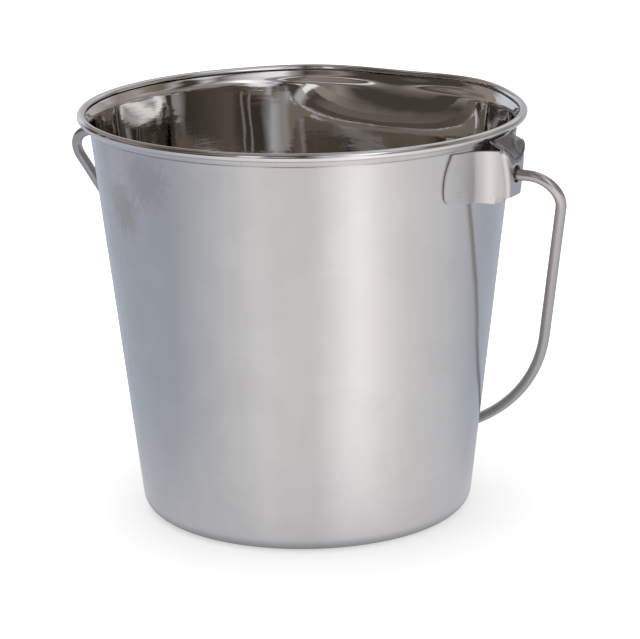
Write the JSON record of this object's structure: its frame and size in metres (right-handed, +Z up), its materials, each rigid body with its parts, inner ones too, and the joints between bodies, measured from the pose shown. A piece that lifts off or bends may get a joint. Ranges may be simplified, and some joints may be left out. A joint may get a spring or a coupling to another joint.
{
  "type": "flat-sided bucket",
  "caption": "Tapered stainless-steel bucket with one flat side, a rolled rim, boxed ears welded to the wall and a swinging wire bail.",
  "frame": {"origin": "middle of the flat bottom, on the floor that the bucket stands on", "axes": "+Z up, +X along the bail's hinge line from ear to ear, +Y towards the flat side"},
  "size_m": [0.319, 0.2502, 0.2334],
  "materials": {
    "sheet_steel": "satin outside, polished inside",
    "ear_steel": "satin, stamped",
    "wire_steel": "drawn wire, satin"
  },
  "bodies": {
    "bucket": {"bucket_shell": "sheet_steel", "ear_right": "ear_steel", "ear_left": "ear_steel"},
    "bail": {"bail": "wire_steel"}
  },
  "joints": [
    {"name": "bail_swing", "type": "hinge", "parent": "bucket", "child": "bail", "pos_m": [0, 0, 0.2069], "axis": [1, 0, 0], "range_deg": [0, 305]}
  ]
}
